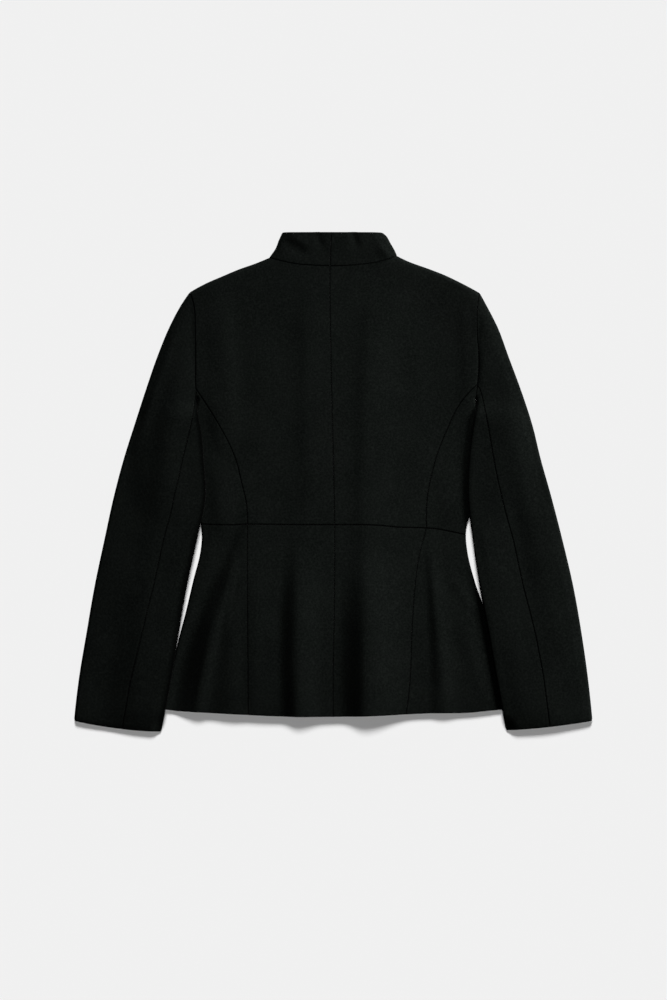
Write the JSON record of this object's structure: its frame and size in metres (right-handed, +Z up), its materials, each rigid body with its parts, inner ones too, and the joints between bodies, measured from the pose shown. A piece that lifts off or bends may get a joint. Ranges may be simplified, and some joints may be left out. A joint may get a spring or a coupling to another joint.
{
  "type": "peplum jacket",
  "caption": "Fitted dark jacket with a stand collar, shaped back seams, long two-piece sleeves and a flared peplum below the waist seam, laid flat with its back up.",
  "frame": {"origin": "middle of the whole jacket on the surface that it lies on", "axes": "+Z up from the surface, towards the back of the jacket; +Y from the hem to the collar; +X to the right as seen from above"},
  "size_m": [0.6992, 0.673, 0.0184],
  "materials": {
    "wool_crepe": "matt"
  },
  "bodies": {
    "root": {"back_centre_left": "wool_crepe", "back_centre_right": "wool_crepe", "back_side_left": "wool_crepe", "back_side_right": "wool_crepe", "front_left": "wool_crepe", "front_right": "wool_crepe", "collar_left": "wool_crepe", "collar_right": "wool_crepe", "peplum_back_centre_left": "wool_crepe", "peplum_back_centre_right": "wool_crepe", "peplum_back_side_left": "wool_crepe", "peplum_back_side_right": "wool_crepe", "peplum_front_left": "wool_crepe", "peplum_front_right": "wool_crepe", "top_sleeve_left": "wool_crepe", "top_sleeve_right": "wool_crepe", "under_sleeve_left": "wool_crepe", "under_sleeve_right": "wool_crepe"}
  },
  "joints": []
}
